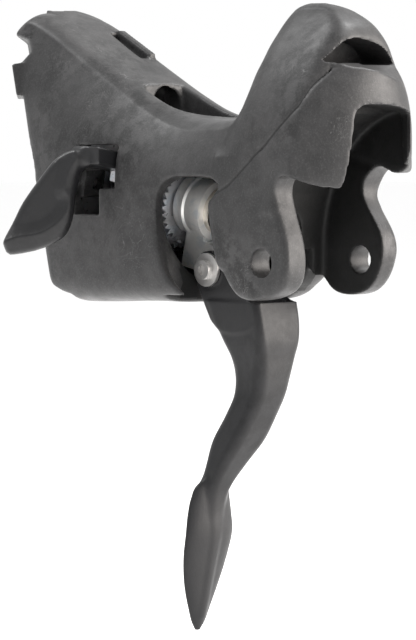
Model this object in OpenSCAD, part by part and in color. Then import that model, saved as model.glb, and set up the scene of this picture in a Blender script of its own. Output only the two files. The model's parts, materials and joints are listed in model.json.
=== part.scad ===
// Left-hand drop-bar brake and shift control: body, finger lever, thumb lever
// and the ratchet stack that winds the shift cable.
// Frame: origin on the brake blade's pivot axis, +Z up, +Y towards the handlebar,
// the thumb lever on the -X side.

/* [Fork for the brake blade] */
// Width over the two ears
fork_w = 35; // [33:0.5:37]
// Gap between the ears
gap_w = 23; // [21:0.5:24]
// Radius of the brake blade's pivot hole
pivot_r = 2.8; // [2.5:0.1:3.2]

/* [Handlebar saddle] */
// Radius of the handlebar
bar_r = 12; // [11.9:0.05:12.2]
// Lean of the handlebar from vertical
bar_lean = 12.5; // [8:0.5:16]
// Radius of the clamp bolt's hole
clamp_hole_r = 3.3; // [3:0.1:3.5]

/* [Shift stack] */
// Rise of the stack's axis towards the handlebar
tilt = 12; // [10:0.5:14]
// Radius of the main axle
axle_r = 2.5; // [2:0.1:3]
// Teeth round each ratchet
teeth = 36; // [30:1:40]
// Running clearance on every shaft
run = 0.05; // [0.03:0.01:0.08]

/* [Levers] */
// Height of the finger lever's tip
tip_z = -75; // [-80:1:-70]
// Radius of the finger lever's hinge pin
hinge_r = 1.6; // [1.4:0.1:1.8]

/* [Hidden] */
$fn = 64;

hw = fork_w / 2;
gi = gap_w / 2;
ax_y = 32;              // where the stack's axis is at w = 0
ax_z = 10.4;
hinge_y = 24;
hinge_z = -2.2;
charcoal = [0.24, 0.24, 0.25];
steel = [0.72, 0.73, 0.75];
dark = [0.13, 0.13, 0.14];

// stack frame: z runs along the main axis to the rear, x is X, -y is up
module M(w = 0) translate([0, ax_y, ax_z]) rotate([tilt - 90, 0, 0]) translate([0, 0, w]) children();
// extrude a (Y, Z) outline along X between x0 and x1
module side(x0, x1, p) translate([x0, 0, 0]) rotate([90, 0, 90]) linear_extrude(x1 - x0) polygon(p);
module tube(r1, r0, w0, w1) translate([0, 0, w0]) difference() {
    cylinder(r = r1, h = w1 - w0);
    translate([0, 0, -1]) cylinder(r = r0, h = w1 - w0 + 2);
}
module ring2(r1, r0) difference() { circle(r1); circle(r0); }

// closed loft through rings of equal length, first and last capped
function flat(v) = [for (r = v) for (p = r) p];
module loft(rings, flip = true) {
    n = len(rings[0]);
    m = len(rings);
    f = concat(
        [[for (i = [n - 1:-1:0]) i]],
        [for (k = [0:m - 2]) for (i = [0:n - 1]) let (j = (i + 1) % n)
            each [[k * n + i, k * n + j, (k + 1) * n + j], [k * n + i, (k + 1) * n + j, (k + 1) * n + i]]],
        [[for (i = [0:n - 1]) (m - 1) * n + i]]);
    polyhedron(flat(rings), flip ? [for (q = f) [for (i = [len(q) - 1:-1:0]) q[i]]] : f);
}

// ---------------- body sections ----------------
// barrel and deck, at a given Y: half width, bottom, shoulder, deck height, ridge half width
barrel = [
    [9, 17.5, -5.5, 14, 28.8, 13],
    [18, 17.5, -8.6, 14, 28.2, 12.2],
    [26, 17.5, -9, 14.5, 28.2, 11.2],
    [34, 17.5, -8.8, 15.5, 30.2, 10.4],
    [42, 17.5, -8.5, 17, 33.8, 10],
    [50, 17.3, -8.5, 19, 38, 9.8],
    [58, 16.4, -8.4, 22, 42.3, 9.8],
    [66, 15, -8.2, 26, 46.8, 9.8],
    [74, 14, -8, 30, 50, 9.8],
    [82, 13.8, -8, 33, 51.5, 9.6],
    [90, 13.6, -8, 34, 52, 9.4]];
function bring(s) = let (y = s[0], w = s[1], b = s[2], h = s[3], t = s[4], r = s[5],
    half = [[0, b], [w * 0.5, b + 0.1], [w * 0.72, b + 0.9], [w * 0.86, b + 2.4], [w * 0.96, b + 5],
        [w, b + 9], [w, h], [w - (w - r) * 0.2, h + (t - h) * 0.34], [w - (w - r) * 0.5, h + (t - h) * 0.63],
        [w - (w - r) * 0.8, h + (t - h) * 0.85], [r + 0.4, t - 0.9], [r - 1.4, t - 0.1], [r - 4, t - 0.2], [0, t - 0.4]])
    concat([for (p = half) [p[0], y, p[1]]], [for (i = [len(half) - 2:-1:1]) [-half[i][0], y, half[i][1]]]);

// plan ring at height z: half width a, front f, rear q, front and rear fullness
function sgn(v) = v < 0 ? -1 : 1;
function pring(z, a, f, q, n, c) = [for (i = [0:43]) let (t = i * 360 / 44, x = cos(t), y = sin(t), b = y < 0 ? c - f : q - c)
    [a * sgn(x) * pow(abs(x), 2 / n), c + b * sgn(y) * pow(abs(y), 2 / n), z]];
visor = [
    [12, 17.4, -16.6, 14], [17, 17.4, -18.4, 14], [22, 17.4, -19.2, 14], [26, 17.4, -19.2, 13.6],
    [29, 17.1, -18.8, 13], [31.5, 16.2, -17.9, 12.4], [33.5, 14.8, -16.7, 11.8], [35.4, 12.8, -15, 11],
    [36.8, 10.4, -13.6, 10], [38, 7, -12.2, 8], [38.6, 3.6, -11.2, 5]];
hump = [
    [20, 17.2, -14, 13.2], [26, 16.9, -13.8, 12.6], [30, 16.4, -13.4, 11.6], [34, 15.7, -12.9, 10.2],
    [37, 14.8, -12.4, 9], [40, 13.7, -11.8, 7.7], [43, 12.3, -11, 6.3], [45.5, 10.8, -10, 5],
    [47.6, 8.8, -8.8, 3.6], [49.3, 6.5, -7.2, 2.2], [50.5, 3.9, -5, 0.8], [51, 1.6, -3.2, -0.6]];

// ear outline, seen from the side: everything in front of and below this is open
front_cut = [[-40, -40], [-40, 14.6], [-19.5, 14.8], [-16, 15.4], [-12, 16.6], [-8, 17.9], [-5.6, 17.7],
    [-4.1, 16.3], [-3.6, 14], [-4.2, 11.6], [-5.3, 8.2], [-6.6, 5], [-7.4, 2.5], [-7.6, -0.5], [-7, -3],
    [-5.4, -5.2], [-3, -6.4], [0, -7.3], [3, -7.8], [5.6, -7.5], [7.8, -6.4], [9.8, -4.2], [11.4, -1.4], [13, -4.6], [15.6, -7.4], [15.8, -40]];
// hollow between the ears and up into the visor
gap_cut = [[-13.5, -40], [-13.5, 30.4], [-8, 29.6], [-2, 26.6], [3.5, 21.5], [7.5, 15], [9.5, 8], [10, 1], [10, -40]];
// mouth of the visor, a little off centre
nose_cut = [[-40, -40], [-40, 30.6], [-12, 30.6], [-6, 26], [-6, -40]];
// opening in the near wall, beside the finger carrier
window = [[30, 12.6], [28.6, 15], [26.4, 16.3], [24, 16.7], [15.5, 16.7], [12.6, 15.8], [11.6, 14.8], [14, 13.4],
    [15.2, 11.4], [14.6, 8], [13.8, 4], [12.6, 0], [11.2, -3.2], [9, -6], [8, -7.6], [20, -7.6], [23.4, -6.6],
    [26.4, -4], [28.4, -0.6], [29.6, 4.6]];
// rear outline: all behind this is open
rear_cut = [[56, -40], [56, -8.6], [61, -7.2], [65, -4.4], [67.4, -0.6], [68.4, 4], [69.4, 11], [81, 13], [90, 53], [87, 60], [140, 60], [140, -40]];

module bar_axis() translate([0, 81.6, 17.5]) rotate([-bar_lean, 0, 0]) children();

module posts() M() intersection() {
    difference() {
        for (s = [-1, 1]) translate([s * 12.9 - 3.4, -2.9, 20.8]) cube([6.8, 5.8, 4]);
        for (s = [-1, 1]) translate([s * 11.2, 0, 15]) cylinder(r = 1.2, h = 15);
    }
    cylinder(r = 15.2, h = 60);
}
module body_moulding() color(charcoal) { shell(); posts(); }
module shell() difference() {
    intersection() {
        union() {
            loft([for (s = barrel) bring(s)], false);
            loft([for (s = visor) pring(s[0], s[1], s[2], s[3], 2.15, -2)]);
            loft([for (s = hump) pring(s[0], s[1], s[2], s[3], 2.3, -2)]);
            // ears, with their outer corners rounded in plan
            translate([0, 0, -8.3]) linear_extrude(26.8) hull() {
                translate([4 - hw, -5]) circle(4);
                translate([hw - 5.5, -3]) circle(5.5);
                for (s = [-1, 1]) translate([s * (hw - 1), 13]) circle(1);
            }
            // lugs that seat the clamp band, low on the near rim
            side(-14.4, -11, [[66, 31], [70.6, 32], [72.4, 38.2], [66, 38.2]]);
        }
        translate([-hw, -40, -20]) cube([fork_w, 140, 90]);
    }
    side(-30, 30, front_cut);
    side(-gi, gi, gap_cut);
    side(-8.6, 12.6, nose_cut);
    side(-30, -8, window);
    side(-30, 30, rear_cut);
    // pivot hole and its lead-in on the near ear
    translate([-30, 0, 0]) rotate([0, 90, 0]) cylinder(r = pivot_r, h = 60);
    // handlebar
    bar_axis() translate([0, 0, -60]) cylinder(r = bar_r, h = 140);
    // the near arm stops short round the bar
    bar_axis() translate([0, 0, -60]) for (a = [90, 132]) rotate([0, 0, a]) cube([40, 40, 140]);
    // clamp band notch through the far arm, and a shallow scallop in the near one
    bar_axis() translate([2, -17, 20.8]) cube([28, 30, 6.6]);
    bar_axis() translate([0, 0, 19.8]) rotate([0, 0, 140]) cube([40, 40, 6.4]);
    // cavity for the shift stack, open to the handlebar
    M(-16) cylinder(r = 14.6, h = 76);
    // axle seat and bush counterbore in the front bulkhead
    M(-40) cylinder(r = axle_r + run, h = 60);
    M(-18.2) cylinder(r = 5, h = 6);
    M(-34) cylinder(r = 4.6, h = 15.8);
    // opening in the floor for the finger lever
    translate([-14.8, 8, -20]) cube([23, 20.6, 22]);
    // thumb lever's opening: tall part and step
    translate([-30, 41.6, 14]) cube([20, 11.2, 8.8]);
    translate([-30, 46.2, 8.6]) cube([20, 7.6, 6]);
    // clamp bolt's pocket and key channel in the deck
    hull() {
        translate([-6, 43.5, 29.4]) cube([12, 1, 14]);
        translate([-5.4, 33, 27.2]) cube([11.4, 1, 12]);
        translate([1, 28.6, 26.6]) cube([4.8, 1, 12]);
    }
    translate([0.6, 44.5, 31.2]) rotate([16 - 90, 0, 0]) translate([0, 0, -6]) cylinder(r = 5, h = 9);
    translate([0.6, 44.5, 31.2]) rotate([16 - 90, 0, 0]) translate([0, 0, -6]) cylinder(r = clamp_hole_r, h = 22);
    // space behind the bolt's seat for the band's ends
    translate([0, 44.5, 31.2]) rotate([16, 0, 0]) translate([-6, 9, -3.6]) cube([11.4, 44, 7.4]);
    // brake cable tunnel
    translate([9.2, -6, 18.2]) rotate([13 - 90, 0, 0]) cylinder(r = 2.6, h = 100);
    // half-moon recess in the front of the hump
    translate([0, -7, 39]) rotate([90, 0, 0]) linear_extrude(20) scale([1.9, 1]) intersection() { circle(5.6); translate([-9, 0]) square([18, 9]); }
    side(-30, 30, [[-9.8, 39], [-40, 39], [-40, 35], [-11.4, 38.2]]);
    // grip slot with its raised rim beside it on the deck
    translate([8.2, 53.4, 42.5]) rotate([27, 0, 0]) translate([-3.4, 0, -2.2]) cube([1.8, 11, 6]);
}

// ---------------- fixed parts of the stack ----------------
module front_bush() color("darkgoldenrod") M() tube(4.95, axle_r + run, -18.2, -13);
module axle_bolt() color(steel) M() difference() {
    union() {
        translate([0, 0, -21.4]) cylinder(r = 4.4, h = 3);
        translate([0, 0, -18.5]) cylinder(r = axle_r, h = 50);
    }
    translate([0, 0, -22]) cylinder(r = 2.3, h = 2.2, $fn = 6);
}
module axle_nut() color(steel) M() difference() {
    union() {
        translate([0, 0, 28.2]) cylinder(r = 4.6, h = 3, $fn = 6);
        translate([0, 0, 27.6]) cylinder(r = 4.5, h = 0.7);
    }
    cylinder(r = axle_r, h = 60);
}
module rear_washer() color(steel) M() tube(5.4, axle_r + run, 26.8, 27.5);
// round plate screwed to posts in the cavity, holding the axle's rear end and closing the cavity
module rear_plate() color(steel) M() difference() {
    intersection() {
        translate([0, 0, 24.8]) linear_extrude(1.9) union() {
            circle(14.2);
        }
        cylinder(r = 14.5, h = 60);
    }
    cylinder(r = axle_r + run, h = 60);
    for (s = [-1, 1]) translate([s * 11.2, 0, 20]) cylinder(r = 1.3, h = 10);
    // way out for the shift cable
    translate([5.6, -9.4, 20]) cylinder(r = 1.5, h = 10);
}
module plate_screws() color(steel) M() for (s = [-1, 1]) translate([s * 11.2, 0, 0]) difference() {
    union() {
        translate([0, 0, 26.75]) cylinder(r = 2.3, h = 1.3);
        translate([0, 0, 22.4]) cylinder(r = 1.2, h = 4.4);
    }
    translate([0, 0, 27.3]) cylinder(r = 1, h = 2, $fn = 6);
}
// ring that holds the two index springs
module spring_carrier() color(dark) M() {
    translate([0, 0, 5.5]) linear_extrude(1.75) difference() {
        circle(14.4);
        circle(11.6);
        for (a = [90, 270]) rotate(a) translate([13, 0]) square([5, 7], center = true);
        rotate(180) translate([13, 0]) square([8, 12], center = true);
    }
    translate([0, 0, 7.2]) linear_extrude(1) difference() {
        ring2(14.4, 11.7);
        rotate(180) translate([13, 0]) square([8, 12], center = true);
    }
}
module g_spring() translate([0, 0, 5.6]) linear_extrude(1.5) {
    translate([12.6, 0]) difference() {
        ring2(1.6, 1.1);
        translate([-2.4, -0.6]) square([1.4, 1.2]);
    }
    translate([11, 0.75]) circle(0.35);
    translate([11, -0.75]) circle(0.35);
}
module index_spring_upper() color(steel) M() rotate(270) g_spring();
module index_spring_lower() color(steel) M() rotate(90) g_spring();

// ---------------- parts that turn with the cable ----------------
module teeth2(r0, r1, lean) for (i = [0:teeth - 1]) rotate(i * 360 / teeth)
    polygon([[r0 - 0.4, -0.62], [r0, -0.62], [r1, lean * 0.4 - 0.1], [r1, lean * 0.4 + 0.1], [r0, 0.62], [r0 - 0.4, 0.62]]);
module finger_ratchet() color(steel) M() translate([0, 0, 3.8]) linear_extrude(1.5) difference() {
    union() { circle(8); teeth2(8, 8.9, 1); }
    circle(4.2);
}
module index_gear() color(steel) M() translate([0, 0, 5.5]) linear_extrude(1.6) difference() {
    union() { circle(9.6); teeth2(9.6, 10.3, 0); }
    circle(4.2);
}
module cable_spool() color(dark) M() difference() {
    rotate_extrude() polygon([[4.2, 7.2], [11.4, 7.2], [11.4, 7.8], [9.6, 8.4], [9.2, 9], [9.6, 9.6], [11.4, 10.2], [11.4, 10.8], [4.2, 10.8]]);
    rotate(40) translate([9, 0, 9]) rotate([90, 0, 0]) cylinder(r = 1, h = 6, center = true);
    for (i = [0:5]) rotate(i * 60 + 20) translate([6.8, 0, 6]) cylinder(r = 1.1, h = 6);
}
module thumb_ratchet() color(steel) M() translate([0, 0, 10.9]) linear_extrude(1.5) difference() {
    union() { circle(8); teeth2(8, 8.9, -1); }
    circle(4.2);
}
module spool_sleeve() color("darkgoldenrod") M() tube(4.2, axle_r + run, 3.7, 12.5);
// coil of wire round the z axis, from w0 to w1, starting and ending at the angles given
module helix(r, d, turns, w0, w1, a0 = 0) {
    k = 7;
    st = round(turns * 16);
    loft([for (i = [0:st]) let (a = a0 + i * turns * 360 / st, w = w0 + d / 2 + (w1 - w0 - d) * i / st)
        [for (j = [0:k - 1]) let (q = r + d / 2 * cos(j * 360 / k), h = w + d / 2 * sin(j * 360 / k)) [q * cos(a), q * sin(a), h]]], false);
}
// spring that turns the spool back and takes up the cable's slack
module spool_spring() color("gray") M() helix(3.35, 0.5, 4.5, -3.9, 3.5, 40);

// ---------------- finger carrier and lever ----------------
module carrier_bush() color("darkgoldenrod") M() {
    tube(4.9, 4.1, -4.1, 3.2);
    tube(4.9, axle_r + run, -5.4, -4.1);
}
module finger_carrier() color([0.8, 0.81, 0.83]) union() {
    M() difference() {
        union() {
            // grooved ring
            rotate_extrude() polygon([[4.9, -4], [6.4, -4], [6.5, -3], [6.5, -1.4], [6.1, -1], [6.1, 0.4], [6.5, 0.8], [6.5, 2.6], [6.2, 3.3], [4.9, 3.3]]);
            // plate that carries the pawl
            translate([0, 0, 2.1]) linear_extrude(1.2) difference() {
                hull() { circle(6.4); rotate(-50) translate([11.2, 0]) circle(2.2); }
                circle(4.95);
            }
            // arm down to the hinge
            translate([-3.1, 4.4, -3.4]) cube([5.2, 8.4, 5]);
        }
        rotate(-50) translate([11.2, 0, -2]) cylinder(r = 0.9, h = 8);
        translate([0, 0, -5]) cylinder(r = 4.9, h = 10);
    }
    // eye round the hinge pin
    difference() {
        union() {
            translate([-3.1, hinge_y, hinge_z]) rotate([0, 90, 0]) cylinder(r = 3.4, h = 5.2);
            side(-3.1, 2.1, [[22.6, 1], [25.4, -5.4], [30.4, -3.4], [32.4, 0.6], [30.4, 3.4]]);
        }
        translate([-10, hinge_y, hinge_z]) rotate([0, 90, 0]) cylinder(r = hinge_r + 0.45, h = 20);
    }
}
module hinge_bush() color("darkgoldenrod") translate([-3.1, hinge_y, hinge_z]) rotate([0, 90, 0]) difference() {
    cylinder(r = hinge_r + 0.45, h = 5.2);
    translate([0, 0, -1]) cylinder(r = hinge_r + run, h = 8);
}
module finger_pawl_pin() color(steel) M() rotate(-50) translate([11.2, 0, 0.9]) cylinder(r = 0.9, h = 4.5);
module pawl2() difference() {
    union() {
        circle(1.7);
        polygon([[-1.6, 0.4], [-1.7, -4.2], [-1.3, -4.7], [-0.6, -4.2], [0.9, -1.4], [1.6, 0]]);
    }
    circle(0.9 + run);
}
module finger_pawl() color(steel) M() rotate(-50) translate([11.2, 0, 3.8]) linear_extrude(1.4) pawl2();
module finger_pawl_spring() color("gray") M() rotate(-50) translate([11.2, 0, 0]) {
    translate([0, 0, 1.15]) helix(1.4, 0.3, 1.625, 0, 1);
}
module finger_return_spring() color("gray") M() helix(4.9, 0.9, 5.25, -12.6, -5.6, 30);

// finger lever: channel top, then a curved blade with a paddle
// each row: Z, near X, far X, front Y, rear Y
blade = [
    [-9.6, -7.6, 4.6, 10.4, 24.4], [-13, -7.6, 4.6, 9.4, 22.6], [-16.4, -7.5, 4.5, 9.2, 20.8], [-20, -7.1, 3.9, 9.6, 19],
    [-23.6, -6.8, 3.2, 10, 18.4], [-27.4, -6.9, 2.5, 10.7, 18.7], [-31.6, -7.9, 1.5, 12.2, 20.2], [-36.6, -9.4, 0, 14.2, 22.2],
    [-41.4, -10.2, -2.4, 16.8, 22.8], [-45.8, -12.2, -4, 19, 24], [-50, -14, -4, 19.9, 24.3], [-55, -15, -3.2, 20, 24.2],
    [-60, -15.2, -4.2, 20.6, 24.4], [-66, -14.5, -6.1, 21.6, 24.6], [-70.4, -13.2, -8.2, 22.4, 24.6], [-73.4, -12.1, -9.5, 22.9, 24.5], [tip_z, -11.2, -10.4, 23.4, 24]];
function lring(s) = let (cx = (s[1] + s[2]) / 2, cy = (s[3] + s[4]) / 2, a = (s[2] - s[1]) / 2, b = (s[4] - s[3]) / 2)
    [for (i = [0:27]) let (t = i * 360 / 28, x = cos(t), y = sin(t))
        [cx + a * sgn(x) * pow(abs(x), 0.62), cy + b * sgn(y) * pow(abs(y), 0.62), s[0]]];
module finger_lever() color(dark) difference() {
    union() {
        difference() {
            loft([for (i = [len(blade) - 1:-1:0]) lring(blade[i])]);
            // channel, open at the top and rear
            side(-4.6, 3.4, [[13.2, -5], [12.6, -13], [12.8, -22], [16, -27], [30, -27], [30, -5]]);
        }
        // cheeks up to the hinge
        for (x = [-7.6, 3.4]) side(x, x == 3.4 ? 4.6 : -4.6, [[10.8, -9.7], [18.8, -2.6], [20.6, -0.2], [24.4, -9.8], [23, -13], [18, -14], [12, -13]]);
        for (x = [-7.6, 3.4]) translate([x, hinge_y, hinge_z]) rotate([0, 90, 0]) cylinder(r = 4.1, h = x == 3.4 ? 1.2 : 3);
        for (x = [-7.6, 3.4]) side(x, x == 3.4 ? 4.6 : -4.6, [[20.4, -0.4], [27.9, -3.6], [26.2, -8.4], [24.2, -10.4], [20, -9.6]]);
    }
    translate([-20, hinge_y, hinge_z]) rotate([0, 90, 0]) cylinder(r = hinge_r + 0.02, h = 40);
}
module hinge_screw() color(steel) translate([0, hinge_y, hinge_z]) rotate([0, 90, 0]) difference() {
    union() {
        translate([0, 0, -9.5]) cylinder(r = 1.95, h = 1.2);
        translate([0, 0, -8.4]) cylinder(r = hinge_r, h = 14.6);
    }
    translate([0, 0, -10]) cylinder(r = 1.15, h = 1.5, $fn = 6);
}
module hinge_washer() color(steel) translate([-8.3, hinge_y, hinge_z]) rotate([0, 90, 0]) difference() {
    cylinder(r = 3.4, h = 0.68);
    translate([0, 0, -1]) cylinder(r = hinge_r + 0.02, h = 3);
}
module hinge_nut() color(steel) translate([4.62, hinge_y, hinge_z]) rotate([0, 90, 0]) difference() {
    cylinder(r = 2.9, h = 1.5, $fn = 6);
    translate([0, 0, -1]) cylinder(r = hinge_r, h = 4);
}
module fold_spring() color("gray") translate([2.15, hinge_y, hinge_z]) rotate([0, 90, 0]) helix(2.5, 0.32, 1.75, 0.04, 1.16);

// ---------------- thumb lever ----------------
module thumb_bush() color("darkgoldenrod") M() tube(3.2, axle_r + run, 12.7, 19.6);
module thumb_hub() color(steel) M() difference() {
    union() {
        translate([0, 0, 12.8]) linear_extrude(1.4) difference() {
            hull() { circle(6.6); rotate(-40) translate([11.2, 0]) circle(2); }
            circle(3.3);
        }
        translate([0, 0, 12.8]) cylinder(r = 6.2, h = 6.6);
        // tang that the lever is screwed to
        translate([-12.6, -7.4, 14.4]) cube([9, 5.6, 1.8]);
    }
    translate([0, 0, 0]) cylinder(r = 3.2 + run, h = 40);
    rotate(-40) translate([11.2, 0, 8]) cylinder(r = 0.9, h = 8);
    for (x = [-11, -8.2]) translate([x, -4.6, 10]) cylinder(r = 0.85, h = 10);
}
module lever_screws() color(steel) M() for (x = [-11, -8.2]) translate([x, -4.6, 0]) {
    translate([0, 0, 13.5]) cylinder(r = 1.2, h = 0.85);
    translate([0, 0, 14.3]) cylinder(r = 0.8, h = 3.9);
}
module thumb_pawl_pin() color(steel) M() rotate(-40) translate([11.2, 0, 10.9]) cylinder(r = 0.9, h = 4.5);
module thumb_pawl() color(steel) M() rotate(-40) translate([11.2, 0, 11]) linear_extrude(1.4) mirror([0, 1]) pawl2();
module thumb_pawl_spring() color("gray") M() rotate(-40) translate([11.2, 0, 14.3]) helix(1.4, 0.3, 1.625, 0, 1);
module thumb_return_spring() color("gray") M() helix(4.2, 0.85, 4.75, 19.8, 24.7, 20);

// thumb lever: rows of [centre, width vector, half thickness], swept from inside the hub to the tip
paddle = [
    [[-9, 46, 18.6], [0, -3.4, 0], 1.9], [[-13, 45.8, 19.4], [0, -3.5, 0], 1.8], [[-17.6, 45.6, 20.2], [0, -3.6, 0], 1.8],
    [[-21, 46.6, 19.2], [0.3, -3.8, -1.4], 1.9], [[-23.4, 48.4, 15.8], [0.7, -3.4, -2.9], 1.9],
    [[-25.4, 50.4, 11.6], [0.9, -3.6, -4.2], 1.7], [[-27.2, 52.6, 7.8], [0.8, -3, -4.8], 1.6],
    [[-28.8, 54.8, 5], [0.6, -2.2, -4.4], 1.5], [[-30.2, 57, 3.2], [0.4, -1.2, -3.2], 1.3], [[-31, 58.4, 2.4], [0.2, -0.5, -1.6], 0.8]];
function unit(v) = v / norm(v);
function tring(i) = let (p = paddle[i][0], u = paddle[i][1], b = paddle[i][2],
        t = paddle[min(i + 1, len(paddle) - 1)][0] - paddle[max(i - 1, 0)][0], n = unit(cross(u, t)))
    [for (k = [0:23]) let (a = k * 15, x = cos(a), y = sin(a))
        p + u * sgn(x) * pow(abs(x), 0.7) + n * b * sgn(y) * pow(abs(y), 0.7)];
module thumb_lever() color(dark) difference() {
    loft([for (i = [0:len(paddle) - 1]) tring(i)]);
    // slot for the hub's tang, and its screw holes
    M() translate([-13, -7.6, 14.3]) cube([9, 6, 2]);
    M() for (x = [-11, -8.2]) translate([x, -4.6, 10]) cylinder(r = 0.82, h = 14);
    M() for (x = [-11, -8.2]) translate([x, -4.6, 8]) cylinder(r = 1.3, h = 6.4);
}

body_moulding();
front_bush();
axle_bolt();
axle_nut();
rear_washer();
rear_plate();
plate_screws();
cable_spool();
finger_ratchet();
index_gear();
thumb_ratchet();
spool_sleeve();
spring_carrier();
index_spring_upper();
index_spring_lower();
spool_spring();
finger_carrier();
carrier_bush();
finger_pawl();
finger_pawl_pin();
finger_pawl_spring();
finger_return_spring();
finger_lever();
hinge_screw();
hinge_washer();
hinge_nut();
hinge_bush();
fold_spring();
thumb_lever();
thumb_hub();
thumb_bush();
thumb_pawl();
thumb_pawl_pin();
thumb_pawl_spring();
thumb_return_spring();
lever_screws();
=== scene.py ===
import bpy
import bmesh
import json
import math
import numpy as np
from mathutils import Vector, Matrix


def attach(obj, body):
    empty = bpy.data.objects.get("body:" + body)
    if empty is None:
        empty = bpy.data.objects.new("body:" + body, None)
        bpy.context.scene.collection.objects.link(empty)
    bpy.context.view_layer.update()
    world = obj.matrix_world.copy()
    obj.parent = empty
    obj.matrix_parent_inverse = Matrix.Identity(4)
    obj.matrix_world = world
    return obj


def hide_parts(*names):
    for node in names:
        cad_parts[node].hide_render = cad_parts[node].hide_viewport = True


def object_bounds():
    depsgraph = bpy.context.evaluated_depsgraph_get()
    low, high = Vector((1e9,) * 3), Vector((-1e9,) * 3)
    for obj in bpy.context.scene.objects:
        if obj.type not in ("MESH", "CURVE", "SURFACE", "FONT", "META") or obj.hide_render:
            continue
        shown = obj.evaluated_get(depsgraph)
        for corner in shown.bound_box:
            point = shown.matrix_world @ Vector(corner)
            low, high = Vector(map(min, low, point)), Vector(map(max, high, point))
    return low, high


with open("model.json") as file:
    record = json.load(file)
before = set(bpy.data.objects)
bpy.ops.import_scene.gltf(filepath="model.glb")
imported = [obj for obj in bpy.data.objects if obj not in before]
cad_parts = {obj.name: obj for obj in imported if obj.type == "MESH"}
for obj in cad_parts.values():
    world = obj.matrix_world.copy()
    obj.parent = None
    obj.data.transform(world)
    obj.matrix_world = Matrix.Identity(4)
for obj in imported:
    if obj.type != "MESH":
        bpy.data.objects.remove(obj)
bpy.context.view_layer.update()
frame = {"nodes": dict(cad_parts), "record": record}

# ------------------------------------------------------------------ camera
MM = 0.001
cam_data = bpy.data.cameras.new("camera")
cam = bpy.data.objects.new("camera", cam_data)
bpy.context.scene.collection.objects.link(cam)
cam_data.lens = 258.75
cam_data.sensor_width = 36.0
cam_data.clip_start = 0.05
cam_data.clip_end = 20.0
AZ, EL = math.radians(-45.0), math.radians(3.0)
back = Vector((math.sin(AZ) * math.cos(EL), -math.cos(AZ) * math.cos(EL), math.sin(EL)))
cam.location = Vector((-0.663893, -0.632265, 0.036265))
cam.rotation_euler = back.to_track_quat("Z", "Y").to_euler()
bpy.context.scene.camera = cam
bpy.context.scene.view_settings.view_transform = "Standard"

# ------------------------------------------------------------------ distance-field modelling, in millimetres
f4 = np.float32


class Grid:
    def __init__(self, lo, hi, h):
        self.h = h
        self.lo = np.array(lo, float)
        self.n = [int(math.ceil((b - a) / h)) + 1 for a, b in zip(lo, hi)]
        self.xs, self.ys, self.zs = [(lo[i] + h * np.arange(self.n[i])).astype(f4) for i in range(3)]
        self.x = self.xs[:, None, None]
        self.y = self.ys[None, :, None]
        self.z = self.zs[None, None, :]
        self.full = np.zeros(self.n, f4)


def smin(a, b, k):
    h = np.clip(0.5 + 0.5 * (b - a) / k, 0.0, 1.0)
    return b + (a - b) * h - k * h * (1.0 - h)


def smax(a, b, k):
    return -smin(-a, -b, k)


def cut(a, b, k=0.5):
    return smax(a, -b, k)


def chaikin(p, times=2):
    p = np.array(p, float)
    for _ in range(times):
        q = np.roll(p, -1, 0)
        p = np.stack([p * 0.75 + q * 0.25, p * 0.25 + q * 0.75], 1).reshape(-1, 2)
    return p


def poly(u, v, pts):
    """Signed distance to a closed outline, negative inside."""
    pts = np.asarray(pts, f4)
    a, b = pts, np.roll(pts, -1, 0)
    d2 = np.full(np.broadcast(u, v).shape, 1e9, f4)
    inside = np.zeros(d2.shape, bool)
    for (ax, ay), (bx, by) in zip(a, b):
        ex, ey = bx - ax, by - ay
        ll = ex * ex + ey * ey
        if ll < 1e-12:
            continue
        wx, wy = u - ax, v - ay
        t = np.clip((wx * ex + wy * ey) / ll, 0, 1)
        dx, dy = wx - ex * t, wy - ey * t
        d2 = np.minimum(d2, dx * dx + dy * dy)
        cross = (ay > v) != (by > v)
        if by != ay:
            inside ^= cross & (u < (bx - ax) * (v - ay) / (by - ay) + ax)
    d = np.sqrt(d2)
    return np.where(inside, -d, d).astype(f4)


def lerp_rows(rows, key, at):
    """Smooth interpolation of a table's columns at the positions given."""
    rows = np.array(rows, float)
    k = rows[:, key]
    out = []
    for c in range(rows.shape[1]):
        v = rows[:, c]
        m = np.gradient(v, k)
        i = np.clip(np.searchsorted(k, at) - 1, 0, len(k) - 2)
        t = np.clip((at - k[i]) / (k[i + 1] - k[i]), 0, 1)
        dk = k[i + 1] - k[i]
        out.append((2 * t**3 - 3 * t**2 + 1) * v[i] + (t**3 - 2 * t**2 + t) * dk * m[i] + (-2 * t**3 + 3 * t**2) * v[i + 1] + (t**3 - t**2) * dk * m[i + 1])
    return np.stack(out, 1)


def even(d):
    """Length of the field's gradient at every grid point, per grid step."""
    g = np.gradient(d)
    m = np.sqrt(g[0] ** 2 + g[1] ** 2 + g[2] ** 2)
    return m


def normalise(d, h):
    m = even(d) / h
    return (d / np.clip(m, 0.35, 4.0)).astype(f4)


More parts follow.
